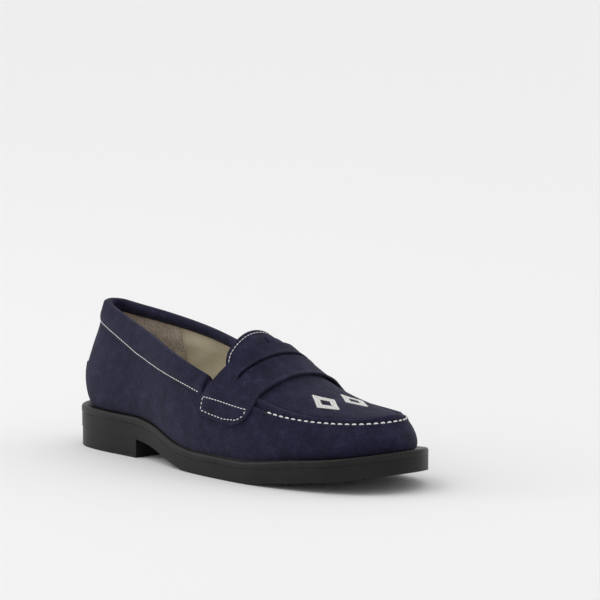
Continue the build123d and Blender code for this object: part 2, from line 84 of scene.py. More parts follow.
# Upright profile of the upper at seven stations from the heel back to the toe tip.
STATION = [0, 0.055, 0.16, 0.25, 0.33, 0.42, 0.5, 0.58, 0.67, 0.75, 0.84, 0.945]
TOP_Z = [94.8, 91.8, 77.8, 62.4, 46.6, 42.4, 43.6]          # height of the upper's top edge
TOP_IN = [8.4, 12.7, 3.3, 5.4, 6.1, 7.8, 6.7]               # its inset from the feather line
LOW_OUT = [11.3, 10.3, 7.4, 5.6, 4.7, 3.6, 3.1]             # lower bulge
HIGH_OUT = [-6.3, -5.9, -0.3, 1.3, -1.4, -4.5, -5.5]        # upper bulge
HIGH_AT = [0.62, 0.69, 0.74, 0.88, 0.99, 0.98, 0.98]        # height of the upper bulge
FEATHER = [6.2, 6.2, 2.9, 2.9, 4.6, 7.5, 7.5, 7.5, 4.6, 2.9, 2.9, 6.2]   # width of the welt ledge
LOW_AT = 0.35

# Crown of the instep above a straight line between its two side edges.
CROWN_X = [-31, -14, 1, 21, 46, 76, 106, 143]
CROWN_Z = [30, 31, 32, 30.4, 21.2, 13.3, 7.8, 0.6]
CROWN_POWER = 2.2


# ---------------------------------------------------------------- curves and surfaces
def curve(keys, values):
    """Natural cubic spline through the values, as a function."""
    keys = np.asarray(keys, float)
    values = np.asarray(values, float)
    step = np.diff(keys)
    rows = np.eye(len(keys))
    load = np.zeros_like(values)
    for i in range(1, len(keys) - 1):
        rows[i, i - 1:i + 2] = step[i - 1], 2 * (step[i - 1] + step[i]), step[i]
        load[i] = 6 * ((values[i + 1] - values[i]) / step[i] - (values[i] - values[i - 1]) / step[i - 1])
    bend = np.linalg.solve(rows, load)

    def at(x):
        x = np.asarray(x, float)
        k = np.clip(np.searchsorted(keys, x) - 1, 0, len(keys) - 2)
        h = step[k]
        a = (keys[k + 1] - x) / h
        b = (x - keys[k]) / h
        if values.ndim > 1:
            a, b, h = a[..., None], b[..., None], h[..., None]
        cubic = ((a**3 - a) * bend[k] + (b**3 - b) * bend[k + 1]) * h * h / 6
        return a * values[k] + b * values[k + 1] + cubic
    return at


def ring_curve(keys, values):
    """The same spline closed on itself, with a period of 1."""
    keys = np.asarray(keys, float)
    values = np.asarray(values, float)
    keys = np.r_[keys[-4:] - 1, keys, keys[:4] + 1]
    values = np.concatenate([values[-4:], values, values[:4]])
    open_curve = curve(keys, values)
    return lambda s: open_curve(np.asarray(s, float) % 1.0)


def both_sides(values):
    """A station curve whose inner side repeats its outer side."""
    return ring_curve(STATION, values + values[5:0:-1])


def edge_stations():
    """Station of each outline point: 0 at the heel back, 0.5 at the toe tip."""
    points = np.array(OUTLINE + OUTLINE[:1], float)
    run = np.r_[0, np.cumsum(np.linalg.norm(np.diff(points, axis=0), axis=1))]
    tip = run[TOE_TIP]
    outer = 0.5 * run / tip
    inner = 0.5 + 0.5 * (run - tip) / (run[-1] - tip)
    return np.where(run <= tip, outer, inner)[:-1]


edge = ring_curve(edge_stations(), OUTLINE)
feather = ring_curve(STATION, FEATHER)
top_z = both_sides(TOP_Z)
top_in = both_sides(TOP_IN)
low_out = both_sides(LOW_OUT)
high_out = both_sides(HIGH_OUT)
high_at = both_sides(HIGH_AT)
crown = curve(CROWN_X, CROWN_Z)
tread = curve(BOTTOM_X, BOTTOM_Z)


def sole_bottom(x):
    """Height of the outsole's underside."""
    return np.where(np.asarray(x) < HEEL_BREAST_X, HEEL_HEIGHT, tread(np.maximum(x, HEEL_BREAST_X)))


def outward(s):
    """Unit vector out of the outline at station s, in plan."""
    along = edge(s + 1e-4) - edge(s - 1e-4)
    out = np.stack([along[..., 1], -along[..., 0]], -1)
    return out / np.linalg.norm(out, axis=-1, keepdims=True)


def inset_edge(s, inset):
    """Outline point moved inwards."""
    return edge(s) - np.asarray(inset)[..., None] * outward(s)


def wall(s, t, off=0.0):
    """Upper's wall at station s and height share t, as (out, z) from the feather line."""
    foot_z = sole_bottom(inset_edge(s, feather(s))[..., 0]) + SOLE_EDGE + GAP
    rise = top_z(s) - foot_z
    out_at = [0 * rise, low_out(s), high_out(s), -top_in(s)]
    z_at = [foot_z, foot_z + LOW_AT * rise, foot_z + high_at(s) * rise, top_z(s)]
    weight = [(1 - t)**3, 3 * t * (1 - t)**2, 3 * t * t * (1 - t), t**3]
    slope = [3 * (1 - t)**2, 6 * t * (1 - t), 3 * t * t]
    out = sum(w * v for w, v in zip(weight, out_at))
    z = sum(w * v for w, v in zip(weight, z_at))
    d_out = sum(w * (b - a) for w, a, b in zip(slope, out_at, out_at[1:]))
    d_z = sum(w * (b - a) for w, a, b in zip(slope, z_at, z_at[1:]))
    length = np.hypot(d_out, d_z)
    return np.stack([out + off * d_z / length, z - off * d_out / length], -1)


def wall_point(s, t, off=0.0):
    """The same point in space."""
    out_z = wall(s, t, off)
    plan = inset_edge(s, feather(s)) + out_z[..., :1] * outward(s)
    return np.concatenate([plan, out_z[..., 1:]], -1)


OUTER_S = np.linspace(0.02, 0.497, 240)
INNER_S = np.linspace(0.98, 0.503, 240)


def wall_at_x(x, t, stations):
    """(y, z) where the wall's height share t crosses the plane at x."""
    points = wall_point(stations, np.full_like(stations, t))
    return np.array([np.interp(x, points[:, 0], points[:, 1]), np.interp(x, points[:, 0], points[:, 2])])


def instep_point(x, w):
    """(y, z) of the instep between its side edges, w from -1 outside to 1 inside."""
    outer = wall_at_x(x, 1.0, OUTER_S)
    inner = wall_at_x(x, 1.0, INNER_S)
    share = (w + 1) / 2
    y = outer[0] + share * (inner[0] - outer[0])
    z = outer[1] + share * (inner[1] - outer[1]) + crown(x) * (1 - abs(w)**CROWN_POWER)
    return np.array([y, z])


def arch(x, low=0.25):
    """Smooth (y, z) path at x: up the outer wall, over the instep and down the inner wall."""
    rise = np.linspace(low, 0.97, 12)
    across = np.linspace(-1, 1, 41)
    outer = [wall_at_x(x, t, OUTER_S) for t in rise]
    top = [instep_point(x, w) for w in across]
    inner = [wall_at_x(x, t, INNER_S) for t in rise[::-1]]
    rough = np.array(outer + top + inner)
    run = np.r_[0, np.cumsum(np.linalg.norm(np.diff(rough, axis=0), axis=1))]
    even = np.linspace(0, run[-1], 121)
    path = np.stack([np.interp(even, run, rough[:, i]) for i in (0, 1)], -1)
    soft = path.copy()
    for _ in range(12):
        soft[1:-1] = (soft[:-2] + 2 * soft[1:-1] + soft[2:]) / 4
    return soft


def smooth_step(x, start, end):
    """0 before start, 1 after end, smooth between."""
    u = np.clip((np.asarray(x, float) - start) / (end - start), 0, 1)
    return u * u * (3 - 2 * u)


def backing_depth(s, t):
    """How far the lining is pushed in by the heel counter or the toe puff."""
    round_heel = np.minimum(s % 1.0, 1 - s % 1.0)
    near_heel = 1 - smooth_step(round_heel, 0.13, 0.18)
    near_toe = smooth_step(round_heel, 0.36, 0.41)
    low_part = 1 - smooth_step(t, 0.68, 0.86)
    return (BACKING + PLY_GAP) * np.maximum(near_heel, near_toe) * low_part


def lining_out(s, t):
    return -SUEDE - LINING_GAP - backing_depth(s, t)


def lining_drop(s):
    """How far the lining stops below the wall's top: more on the forefoot, under the seam."""
    from_back = np.minimum(s % 1.0, 1 - s % 1.0)
    return 0.01 + 0.11 * smooth_step(from_back, 0.30, 0.36)


def lining_in(s, t):
    return lining_out(s, t) - LINING


def collar_foot(s):
    """Height share of the collar's lower edge."""
    from_back = np.minimum(s % 1.0, 1 - s % 1.0)
    depth = np.interp(from_back, [0, 0.13, 0.26], COLLAR_DEPTH)
    foot_z = sole_bottom(inset_edge(s, feather(s))[..., 0]) + SOLE_EDGE
    return 1 - 0.92 * depth / (top_z(s) - foot_z)


# ---------------------------------------------------------------- materials
def nodes_of(name, roughness, color=(0.5, 0.5, 0.5)):
    """A new material with its shader, its node tree and object coordinates."""
    material = bpy.data.materials.new(name)
    material.use_nodes = True
    tree = material.node_tree
    shader = tree.nodes["Principled BSDF"]
    shader.inputs["Roughness"].default_value = roughness
    shader.inputs["Base Color"].default_value = (*color, 1)
    place = tree.nodes.new("ShaderNodeTexCoord").outputs["Object"]
    return material, tree, shader, place


def noise(tree, place, scale, detail=4.0, stretch=None, rough=0.6):
    """Noise of a given number of features to the metre."""
    if stretch:
        mapping = tree.nodes.new("ShaderNodeMapping")
        mapping.inputs["Scale"].default_value = stretch
        tree.links.new(place, mapping.inputs["Vector"])
        place = mapping.outputs["Vector"]
    node = tree.nodes.new("ShaderNodeTexNoise")
    node.inputs["Scale"].default_value = scale
    node.inputs["Detail"].default_value = detail
    node.inputs["Roughness"].default_value = rough
    tree.links.new(place, node.inputs["Vector"])
    return node.outputs["Fac"]


def ramp(tree, value, *stops):
    """Colour ramp from (place, colour) stops."""
    node = tree.nodes.new("ShaderNodeValToRGB")
    items = node.color_ramp.elements
    while len(items) < len(stops):
        items.new(0.5)
    for item, (at, color) in zip(items, stops):
        item.position = at
        item.color = (*color, 1)
    tree.links.new(value, node.inputs["Fac"])
    return node.outputs["Color"]


def blend_colors(tree, factor, first, second, mode="MIX"):
    node = tree.nodes.new("ShaderNodeMix")
    node.data_type = "RGBA"
    node.blend_type = mode
    if isinstance(factor, float):
        node.inputs[0].default_value = factor
    else:
        tree.links.new(factor, node.inputs[0])
    tree.links.new(first, node.inputs[6])
    tree.links.new(second, node.inputs[7])
    return node.outputs[2]


def bump(tree, shader, height, distance, strength=1.0, below=None):
    """Bump of a given depth in metres, on top of another one if given."""
    node = tree.nodes.new("ShaderNodeBump")
    node.inputs["Strength"].default_value = strength
    node.inputs["Distance"].default_value = distance
    tree.links.new(height, node.inputs["Height"])
    if below:
        tree.links.new(below, node.inputs["Normal"])
    tree.links.new(node.outputs["Normal"], shader.inputs["Normal"])
    return node.outputs["Normal"]


def suede(name, low, middle, high, sheen=0.10):
    """Napped leather: brushed patches, fine fibres and a soft sheen."""
    material, tree, shader, place = nodes_of(name, 0.95)
    patches = noise(tree, place, 105.0, 6.0, rough=0.68)
    fibres = noise(tree, place, 1050.0, 4.0, (1.0, 1.0, 1.8))
    cloudy = ramp(tree, patches, (0.30, low), (0.52, middle), (0.74, high))
    speckle = ramp(tree, fibres, (0.34, (0.35, 0.35, 0.36)), (0.68, (1.75, 1.75, 1.70)))
    color = blend_colors(tree, 0.75, cloudy, speckle, "MULTIPLY")
    tree.links.new(color, shader.inputs["Base Color"])
    shader.inputs["Sheen Weight"].default_value = sheen
    shader.inputs["Sheen Roughness"].default_value = 0.55
    shader.inputs["Sheen Tint"].default_value = (0.55, 0.56, 0.72, 1)
    shader.inputs["Specular IOR Level"].default_value = 0.15
    nap = bump(tree, shader, fibres, 0.00035, 0.7)
    bump(tree, shader, patches, 0.0006, 0.35, nap)
    return material


def leather(name, low, high, roughness, pores=900.0):
    """Smooth lining leather with pores, creases and slight staining."""
    material, tree, shader, place = nodes_of(name, roughness)
    stain = noise(tree, place, 28.0, 5.0)
    tree.links.new(ramp(tree, stain, (0.32, low), (0.68, high)), shader.inputs["Base Color"])
    cells = tree.nodes.new("ShaderNodeTexVoronoi")
    cells.inputs["Scale"].default_value = pores
    tree.links.new(place, cells.inputs["Vector"])
    grain = bump(tree, shader, cells.outputs["Distance"], 0.00012, 0.5)
    bump(tree, shader, noise(tree, place, 110.0, 4.0, (1.0, 1.0, 2.5)), 0.0006, 0.35, grain)
    return material


def rubber(name, low, high, roughness):
    """Moulded black rubber: faint mottling, scuffs and mould grain."""
    material, tree, shader, place = nodes_of(name, roughness)
    shader.inputs["Specular IOR Level"].default_value = 0.16
    mottled = noise(tree, place, 60.0, 6.0)
    tree.links.new(ramp(tree, mottled, (0.30, low), (0.72, high)), shader.inputs["Base Color"])
    gloss = tree.nodes.new("ShaderNodeMapRange")
    gloss.inputs["To Min"].default_value = roughness - 0.08
    gloss.inputs["To Max"].default_value = roughness + 0.10
    tree.links.new(mottled, gloss.inputs["Value"])
    tree.links.new(gloss.outputs["Result"], shader.inputs["Roughness"])
    grain = bump(tree, shader, noise(tree, place, 1400.0, 2.0), 0.00008, 0.5)
    bump(tree, shader, noise(tree, place, 30.0, 2.0, (1.0, 1.0, 0.4)), 0.0008, 0.25, grain)
    return material


def thread(name, low, high):
    """Twisted thread: fine slanting plies, with painted shade in the grooves between them."""
    material, tree, shader, place = nodes_of(name, 0.75)
    wave = tree.nodes.new("ShaderNodeTexWave")
    wave.bands_direction = "DIAGONAL"
    wave.inputs["Scale"].default_value = 420.0
    wave.inputs["Distortion"].default_value = 1.5
    tree.links.new(place, wave.inputs["Vector"])
    # The darker colour in the wave's troughs is painted shade in the grooves between the plies.
    tree.links.new(ramp(tree, wave.outputs["Fac"], (0.1, low), (0.6, high)), shader.inputs["Base Color"])
    shader.inputs["Sheen Weight"].default_value = 0.2
    bump(tree, shader, wave.outputs["Fac"], 0.00015, 0.6)
    return material


def granular(name, low, middle, high, scale, roughness=0.9):
    """Cork, fibre board or foam: packed grains."""
    material, tree, shader, place = nodes_of(name, roughness)
    cells = tree.nodes.new("ShaderNodeTexVoronoi")
    cells.inputs["Scale"].default_value = scale
    tree.links.new(place, cells.inputs["Vector"])
    mixed = noise(tree, place, scale * 0.4, 5.0)
    grains = ramp(tree, cells.outputs["Distance"], (0.1, low), (0.5, middle), (0.9, high))
    tone = ramp(tree, mixed, (0.3, (0.75, 0.75, 0.75)), (0.7, (1.1, 1.1, 1.1)))
    tree.links.new(blend_colors(tree, 1.0, grains, tone, "MULTIPLY"), shader.inputs["Base Color"])
    bump(tree, shader, cells.outputs["Distance"], 0.0003, 0.6)
    return material


def brushed_steel(name):
    material, tree, shader, place = nodes_of(name, 0.35)
    shader.inputs["Metallic"].default_value = 1.0
    lines = noise(tree, place, 700.0, 3.0, (0.05, 1.0, 1.0))
    tint = ramp(tree, lines, (0.3, (0.35, 0.35, 0.36)), (0.7, (0.6, 0.6, 0.6)))
    tree.links.new(tint, shader.inputs["Base Color"])
    bump(tree, shader, lines, 0.00005, 0.4)
    return material


NAVY = suede("navy_suede_nap", (0.0065, 0.0060, 0.0165), (0.0125, 0.0115, 0.0310), (0.0245, 0.0230, 0.0540))
CREAM = leather("cream_lining", (0.50, 0.44, 0.32), (0.66, 0.60, 0.45), 0.55)
GRIP = suede("grip_lining", (0.36, 0.30, 0.25), (0.48, 0.41, 0.35), (0.58, 0.50, 0.43), 0.15)
RUBBER = rubber("black_rubber", (0.008, 0.0078, 0.0075), (0.016, 0.0155, 0.015), 0.44)
# The welt's rubber is a little lighter than the outsole's: a painted highlight along the top of the sole.
WELT_RUBBER_PAINTED_HIGHLIGHT = rubber("welt_rubber_painted_highlight", (0.009, 0.0088, 0.0085), (0.019, 0.0185, 0.018), 0.40)
WHITE = thread("white_thread", (0.52, 0.52, 0.50), (0.86, 0.86, 0.84))
CORK = granular("cork", (0.24, 0.14, 0.08), (0.42, 0.27, 0.16), (0.60, 0.42, 0.26), 450.0)
BOARD = granular("fibre_board", (0.40, 0.32, 0.22), (0.52, 0.43, 0.31), (0.62, 0.53, 0.40), 1200.0)
FOAM = granular("foam", (0.62, 0.60, 0.54), (0.74, 0.72, 0.66), (0.82, 0.80, 0.75), 1500.0)
STEEL = brushed_steel("steel")


# ---------------------------------------------------------------- mesh building
def add_mesh(name, points, faces, material, smooth=True):
    """A mesh object from points in millimetres."""
    mesh = bpy.data.meshes.new(name)
    mesh.from_pydata((np.asarray(points) * MM).tolist(), [], faces)
    mesh.materials.append(material)
    mesh.validate()
    mesh.update()
    mesh.polygons.foreach_set("use_smooth", [smooth] * len(mesh.polygons))
    piece = bpy.data.objects.new(name, mesh)
    bpy.context.scene.collection.objects.link(piece)
    return piece


def grid_faces(rows, columns, wrap_rows=False, wrap_columns=False, keep=None):
    """Quads of a grid of points; keep(row, column) can leave some out."""
    faces = []
    for i in range(rows if wrap_rows else rows - 1):
        for j in range(columns if wrap_columns else columns - 1):
            if keep and not keep(i, j):
                continue
            up = (i + 1) % rows
            side = (j + 1) % columns
            faces.append((i * columns + j, i * columns + side, up * columns + side, up * columns + j))
    return faces


def skin(name, grid, thickness, material, wrap=False, keep=None, flip=False):
    """A sheet of leather: the grid is its outer face, the thickness goes inwards."""
    rows, columns = grid.shape[:2]
    faces = grid_faces(rows, columns, wrap_rows=wrap, keep=keep)
    if flip:
        faces = [face[::-1] for face in faces]
    piece = add_mesh(name, grid.reshape(-1, 3), faces, material)
    solid = piece.modifiers.new("thickness", "SOLIDIFY")
    solid.thickness = thickness * MM
    solid.offset = -1
    solid.use_even_offset = False
    bevel = piece.modifiers.new("edge", "BEVEL")
    bevel.width = 0.3 * thickness * MM
    bevel.segments = 2
    bevel.angle_limit = math.radians(50)
    return piece


def tube(name, rings, material, closed=False):
    """A solid swept through closed rings of points; the ends are capped unless it is closed."""
    rows, columns = rings.shape[:2]
    faces = grid_faces(rows, columns, wrap_rows=closed, wrap_columns=True)
    if not closed:
        faces.append(tuple(range(columns))[::-1])
        faces.append(tuple((rows - 1) * columns + j for j in range(columns)))
    return add_mesh(name, rings.reshape(-1, 3), faces, material)


def unit(v):
    return v / np.maximum(np.linalg.norm(v, axis=-1, keepdims=True), 1e-9)


def stitches(name, ends, normals, radius, material=None, sides=8, flat=0.8):
    """Separate rounded stitches; ends is a list of (start, end) points."""
    shape_at = [(0.0, 0.35, -0.35), (0.12, 0.85, 0.0), (0.32, 1.0, 0.28),
                (0.68, 1.0, 0.28), (0.88, 0.85, 0.0), (1.0, 0.35, -0.35)]
    points = []
    faces = []
    turn = np.linspace(0, 2 * np.pi, sides, endpoint=False)
    for (start, end), normal in zip(ends, normals):
        along = unit(end - start)
        side = unit(np.cross(along, normal))
        up = np.cross(side, along)
        first = len(points)
        for at, size, lift in shape_at:
            middle = start + at * (end - start) + up * lift * radius
            for a in turn:
                points.append(middle + radius * size * (side * np.cos(a) + up * flat * np.sin(a)))
        for r in range(len(shape_at) - 1):
            for k in range(sides):
                n = (k + 1) % sides
                row = first + r * sides
                faces.append((row + k, row + n, row + sides + n, row + sides + k))
        faces.append(tuple(first + k for k in range(sides))[::-1])
        faces.append(tuple(first + (len(shape_at) - 1) * sides + k for k in range(sides)))
    return add_mesh(name, points, faces, material or WHITE)


def along_line(points, normals, pitch, length):
    """Cut a line of points into stitches of one pitch."""
    run = np.r_[0, np.cumsum(np.linalg.norm(np.diff(points, axis=0), axis=1))]
    count = int(run[-1] / pitch)
    ends = []
    ups = []
    for k in range(count):
        middle = (k + 0.5) * run[-1] / count
        reach = (middle - length / 2, middle + length / 2)
        at = [np.array([np.interp(d, run, points[:, i]) for i in range(3)]) for d in reach]
        up = np.array([np.interp(middle, run, normals[:, i]) for i in range(3)])
        ends.append(at)
        ups.append(unit(up))
    return ends, ups


def finish_piece(piece, slot, *nodes, body=SHOE):
    """Put a piece on its body, in place of its CAD nodes; the slot is not used."""
    if body:
        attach(piece, body)
    if nodes:
        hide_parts(*nodes)


def wander(points, size, wave):
    """Slow uneven swelling, so that leather isn't perfectly even."""
    x, y, z = points[..., 0], points[..., 1], points[..., 2]
    k = 2 * np.pi / wave
    return size * (np.sin(k * x + 1.3 * np.sin(k * 0.7 * z)) * np.cos(k * 0.9 * y + 0.8) * 0.6
                   + np.sin(k * 1.7 * z + k * 0.6 * x + 2.1) * 0.4)


def from_back(s):
    return np.minimum(s % 1.0, 1 - s % 1.0)


# ---------------------------------------------------------------- wall, linings and heel strips
def wall_grid(s_values, t_low, t_high, rows, off):
    """Points of a layer of the wall, stations by heights."""
    share = np.linspace(0, 1, rows)
    s = np.repeat(np.asarray(s_values)[:, None], rows, 1)
    low = np.broadcast_to(t_low(s[:, :1]), s[:, :1].shape)
    high = np.broadcast_to(t_high(s[:, :1]), s[:, :1].shape)
    t = low + (high - low) * share[None, :]
    return wall_point_off(s, t, off), s, t


def wall_point_off(s, t, off):
    """wall_point with an offset that changes from place to place."""
    near = wall_point(s, t)
    step = wall_point(s, t, 1.0) - near
    return near + np.asarray(off)[..., None] * step


def wall_ends(s):
    return 1 - 0.045 * (1 - smooth_step(from_back(s), 0.26, 0.31))


def level(value):
    return lambda s: 0 * np.asarray(s) + value


SEAM_LIP = 0.9           # how far the wall swells just under the moccasin seam
s_all = np.linspace(0, 1, 560, endpoint=False)
grid, s, t = wall_grid(s_all, level(0.0), wall_ends, 60, np.zeros((560, 60)))
drop = (1 - t) * (top_z(s) - 20.0)
fore = smooth_step(from_back(s), 0.28, 0.33)
swell = fore * (SEAM_LIP * np.exp(-((drop - 3.2) / 1.9)**2) - 1.3 * np.exp(-(drop / 0.9)**2))
puckers = fore * 0.16 * np.cos(2 * np.pi * 700 * s / 4.6) * np.exp(-((drop - 2.2) / 2.2)**2)
grid = wall_point_off(s, t, swell + puckers + wander(grid, 0.22, 46.0) * smooth_step(t, 0.02, 0.2))
vamp = skin("vamp_wall_suede", grid, SUEDE, NAVY, wrap=True, flip=True)
finish_piece(vamp, "navy_suede", "vamp_wall")


def lining_skin(name, start, end, node, material, slot, wrinkle):
    """Lining leather seen from inside the shoe."""
    count = int(abs(end - start) * 420) + 8
    rows = 44
    grid, s, t = wall_grid(np.linspace(start, end, count), level(0.05),
                           lambda q: wall_ends(q) - lining_drop(q), rows, np.zeros((count, rows)))
    folds = wrinkle * np.sin(t * 21 + 5 * np.sin(s * 37)) * np.exp(-((t - 0.55) / 0.22)**2)
    grid = wall_point_off(s, t, lining_in(s, t) - folds * 0.5 - abs(wrinkle) * 0.3)
    piece = skin(name, grid, LINING * 0.8, material)
    finish_piece(piece, slot, node)
    return piece


GRIP_EDGE = 11 / GRID
VAMP_EDGE = 29 / GRID
HALF_SEAM = 0.0008       # half the gap at a lining seam, as a station
lining_skin("heel_grip_suede", -GRIP_EDGE, GRIP_EDGE, "heel_grip_lining", GRIP, "grip_suede", 0.15)
lining_skin("quarter_lining_outer_skin", GRIP_EDGE + HALF_SEAM, VAMP_EDGE, "quarter_lining_outer", CREAM,
            "cream_leather", 0.5)
lining_skin("quarter_lining_inner_skin", 1 - VAMP_EDGE, 1 - GRIP_EDGE - HALF_SEAM, "quarter_lining_inner",
            CREAM, "cream_leather", 0.5)
lining_skin("vamp_lining_skin", VAMP_EDGE + HALF_SEAM, 1 - VAMP_EDGE - HALF_SEAM, "vamp_lining", CREAM,
            "cream_leather", 0.2)

grip_ends = []
grip_up = []
for seam_at in (GRIP_EDGE - 0.0022, GRIP_EDGE + 0.0030, 1 - GRIP_EDGE + 0.0022, 1 - GRIP_EDGE - 0.0030):
    seam_t = np.linspace(0.25, 0.90, 60)
    seam_s = np.full(60, seam_at)
    seam_line = wall_point_off(seam_s, seam_t, lining_in(seam_s, seam_t) - 0.35)
    seam_back = wall_point_off(seam_s, seam_t, lining_in(seam_s, seam_t) + 0.65)
    ends, ups = along_line(seam_line, seam_line - seam_back, 2.4, 1.8)
    grip_ends += ends
    grip_up += ups
CREAM_THREAD = thread("cream_thread", (0.36, 0.32, 0.25), (0.62, 0.57, 0.46))
finish_piece(stitches("grip_seam_stitches", grip_ends, grip_up, 0.26, CREAM_THREAD), "white_thread")


def heel_strip(name, half, low, high, off, thickness, node):
    """A strip up the middle of the heel, its edges pressed down."""
    rows = 34
    s_values = np.linspace(-half, half, 41)
    grid, s, t = wall_grid(s_values, low, high, rows, np.zeros((41, rows)))
    edge_soft = 0.35 * thickness * np.exp(-((half - abs(s)) / 0.0022)**2)
    grid = wall_point_off(s, t, off - edge_soft + wander(grid, 0.1, 30.0))
    piece = skin(name, grid, thickness * 0.85, NAVY, flip=True)
    finish_piece(piece, "navy_suede", node)


heel_strip("back_seam_strip_suede", 0.019, level(0.385), lambda s: collar_foot(s) + 0.01, 1.30, 1.0,
           "back_seam_strip")
heel_strip("backstay_suede", 0.021, level(0.03), level(0.392), 2.25, 1.9, "backstay")


# ---------------------------------------------------------------- folded collar
def collar_ring(s):
    """Closed section of the padded collar: outside, rim and inside, then back under it."""
    foot = float(collar_foot(s))
    high = np.linspace(foot, 0.985, 12)
    share = np.linspace(0, 1, 12)
    swell = 0.75 + 0.5 * np.sin(np.pi * share**0.8) + 1.15 * smooth_step(share, 0.05, 0.45)
    swell = swell - 0.35 * np.exp(-((share - 0.13) / 0.07)**2)
    outside = np.array([wall(s, t, o) for t, o in zip(high, swell)])
    inner_off = -COLLAR_INNER - 1.2
    inside = np.array([wall(s, t, inner_off + 0.3 * (0.985 - t) * 20) for t in (0.985, 0.965, 0.94, 0.905)])
    first, last = outside[-1], inside[0]
    middle = (first + last) / 2
    half = (first - last) / 2
    turns = np.radians([30, 60, 90, 120, 150])
    arc = [middle + half * math.cos(a) + np.array([0, 1.0]) * math.sin(a) * 2.0 for a in turns]
    under_in = np.array([wall(s, t, -COLLAR_INNER) for t in (0.905, 0.96)])
    under_out = np.array([wall(s, t, 0.35) for t in (0.96, (0.96 + foot) / 2, foot)])
    return np.array([*outside, *arc, *inside, *under_in, *under_out])


COLLAR_INNER = SUEDE + LINING_GAP + LINING + PLY_GAP
collar_s = np.linspace(-0.252, 0.252, 240)
rings = []
for s_at in collar_s:
    section = collar_ring(s_at)
    x, y = inset_edge(s_at, feather(s_at))
    nx, ny = outward(s_at)
    rings.append(np.stack([x + section[:, 0] * nx, y + section[:, 0] * ny, section[:, 1]], -1))
collar = tube("topline_collar_suede", np.array(rings)[:, ::-1], NAVY)
finish_piece(collar, "navy_suede", "topline_collar")

seam_s = np.linspace(-0.247, 0.247, 400)
seam_t = np.array([collar_foot(q) + 0.034 for q in seam_s])
seam_points = wall_point_off(seam_s, seam_t, np.full(400, 1.35))
seam_up = unit(wall_point_off(seam_s, seam_t, np.full(400, 2.35)) - seam_points)
finish_piece(stitches("collar_stitches", *along_line(seam_points, seam_up, 2.6, 1.9), 0.30), "white_thread",
             "collar_stitching")

# ---------------------------------------------------------------- moccasin seam and apron
moc_s = np.linspace(0.333, 0.667, 400)
moc_t = np.full(400, 1.0) - 2.3 / (top_z(moc_s) - 20.0)
moc_points = wall_point_off(moc_s, moc_t, np.full(400, 0.85))
moc_up = unit(wall_point_off(moc_s, moc_t, np.full(400, 1.85)) - moc_points)
finish_piece(stitches("moc_seam_stitches", *along_line(moc_points, moc_up, 4.6, 3.1), 0.55), "white_thread",
             "moc_seam_thread")

outer_top = wall_point(OUTER_S, np.ones_like(OUTER_S))
inner_top = wall_point(INNER_S, np.ones_like(INNER_S))


def instep_height(x, y):
    """Height of the instep surface at a place in plan."""
    y_out, z_out = [np.interp(x, outer_top[:, 0], outer_top[:, i]) for i in (1, 2)]
    y_in, z_in = [np.interp(x, inner_top[:, 0], inner_top[:, i]) for i in (1, 2)]
    share = np.clip((y - y_out) / np.maximum(y_in - y_out, 1e-3), 0, 1)
    return z_out + share * (z_in - z_out) + crown(x) * (1 - abs(2 * share - 1)**CROWN_POWER)


SPINE_END_X = 98.0
SPINE_Y = 8.0
APRON_START = 0.283


def apron_spine(x):
    """Point of the apron's middle line, in plan, that the ray from a seam point at x starts from."""
    forward = smooth_step(x, 40, 90)
    return np.array([min(x, SPINE_END_X), SPINE_Y * forward - 4.0 * (1 - forward)])


def apron_grid(lift, edge_drop, far=0.0):
    """Apron points: rays from the middle line out to the moccasin seam."""
    s_values = np.linspace(APRON_START, 1 - APRON_START, 330)
    edge_points = wall_point(s_values, np.ones(330))
    from_edge = np.array([0.0, 0.2, 0.4, 0.6, 0.8, 1.3, 1.9, 2.6, 3.3, 4.0, 4.7, 5.4, 6.2, 7.4, 9.0])
    inner = np.linspace(1, 0, 14)[1:]
    grid = np.zeros((330, len(from_edge) + len(inner), 3))
    for i, point in enumerate(edge_points):
        spine = apron_spine(point[0])
        reach = np.linalg.norm(point[:2] - spine)
        shares = np.r_[1 - (from_edge + far) / reach, (1 - (from_edge[-1] + far) / reach) * inner]
        plan = spine + shares[:, None] * (point[:2] - spine)
        grid[i, :, :2] = plan
        grid[i, :, 2] = instep_height(plan[:, 0], plan[:, 1])
        distance = (1 - shares) * reach
        grid[i, :, 2] += lift + edge_drop * profile(distance)
    return grid


def profile(distance):
    """Rolled lip at the edge of the apron, and the valley of its fine stitch line."""
    lip = 1.7 * np.exp(-((distance - 2.1) / 1.7)**2) - 3.6 * np.exp(-(distance / 0.75)**2)
    return lip - 0.45 * np.exp(-((distance - 5.0) / 0.9)**2)


grid = apron_grid(0.0, 1.0)
grid[..., 2] += wander(grid, 0.25, 40.0)
apron = skin("apron_plug_suede", grid, SUEDE, NAVY, flip=True)
finish_piece(apron, "navy_suede", "apron_plug")
inner_grid = apron_grid(-SUEDE - PLY_GAP - 0.3, 0.0, 6.5)
apron_inside = skin("apron_lining_skin", inner_grid, LINING * 0.8, CREAM, flip=True)
finish_piece(apron_inside, "cream_leather", "apron_lining")


def on_apron(s_values, distance, lift):
    """Points on the apron at a distance in from the seam."""
    points = []
    for s_at in s_values:
        point = wall_point(np.array([s_at]), np.ones(1))[0]
        spine = apron_spine(point[0])
        plan = point[:2] + unit(spine - point[:2]) * distance
        points.append([*plan, instep_height(plan[0], plan[1]) + lift])
    return np.array(points)


fine_points = on_apron(np.linspace(0.335, 0.665, 260), 5.4, -0.30)
fine_up = np.tile([0.0, 0.0, 1.0], (260, 1))
fine = stitches("apron_fine_stitches", *along_line(fine_points, fine_up, 2.4, 1.7), 0.24, NAVY)
finish_piece(fine, "navy_suede")

# ---------------------------------------------------------------- arches for the strap and the tongue
ARCH_X = np.linspace(5, 66, 42)
ARCHES = np.array([arch(x) for x in ARCH_X])            # x by path point by (y, z)
ALONG = np.gradient(ARCHES, axis=1)
NORMALS = unit(np.stack([-ALONG[..., 1], ALONG[..., 0]], -1))


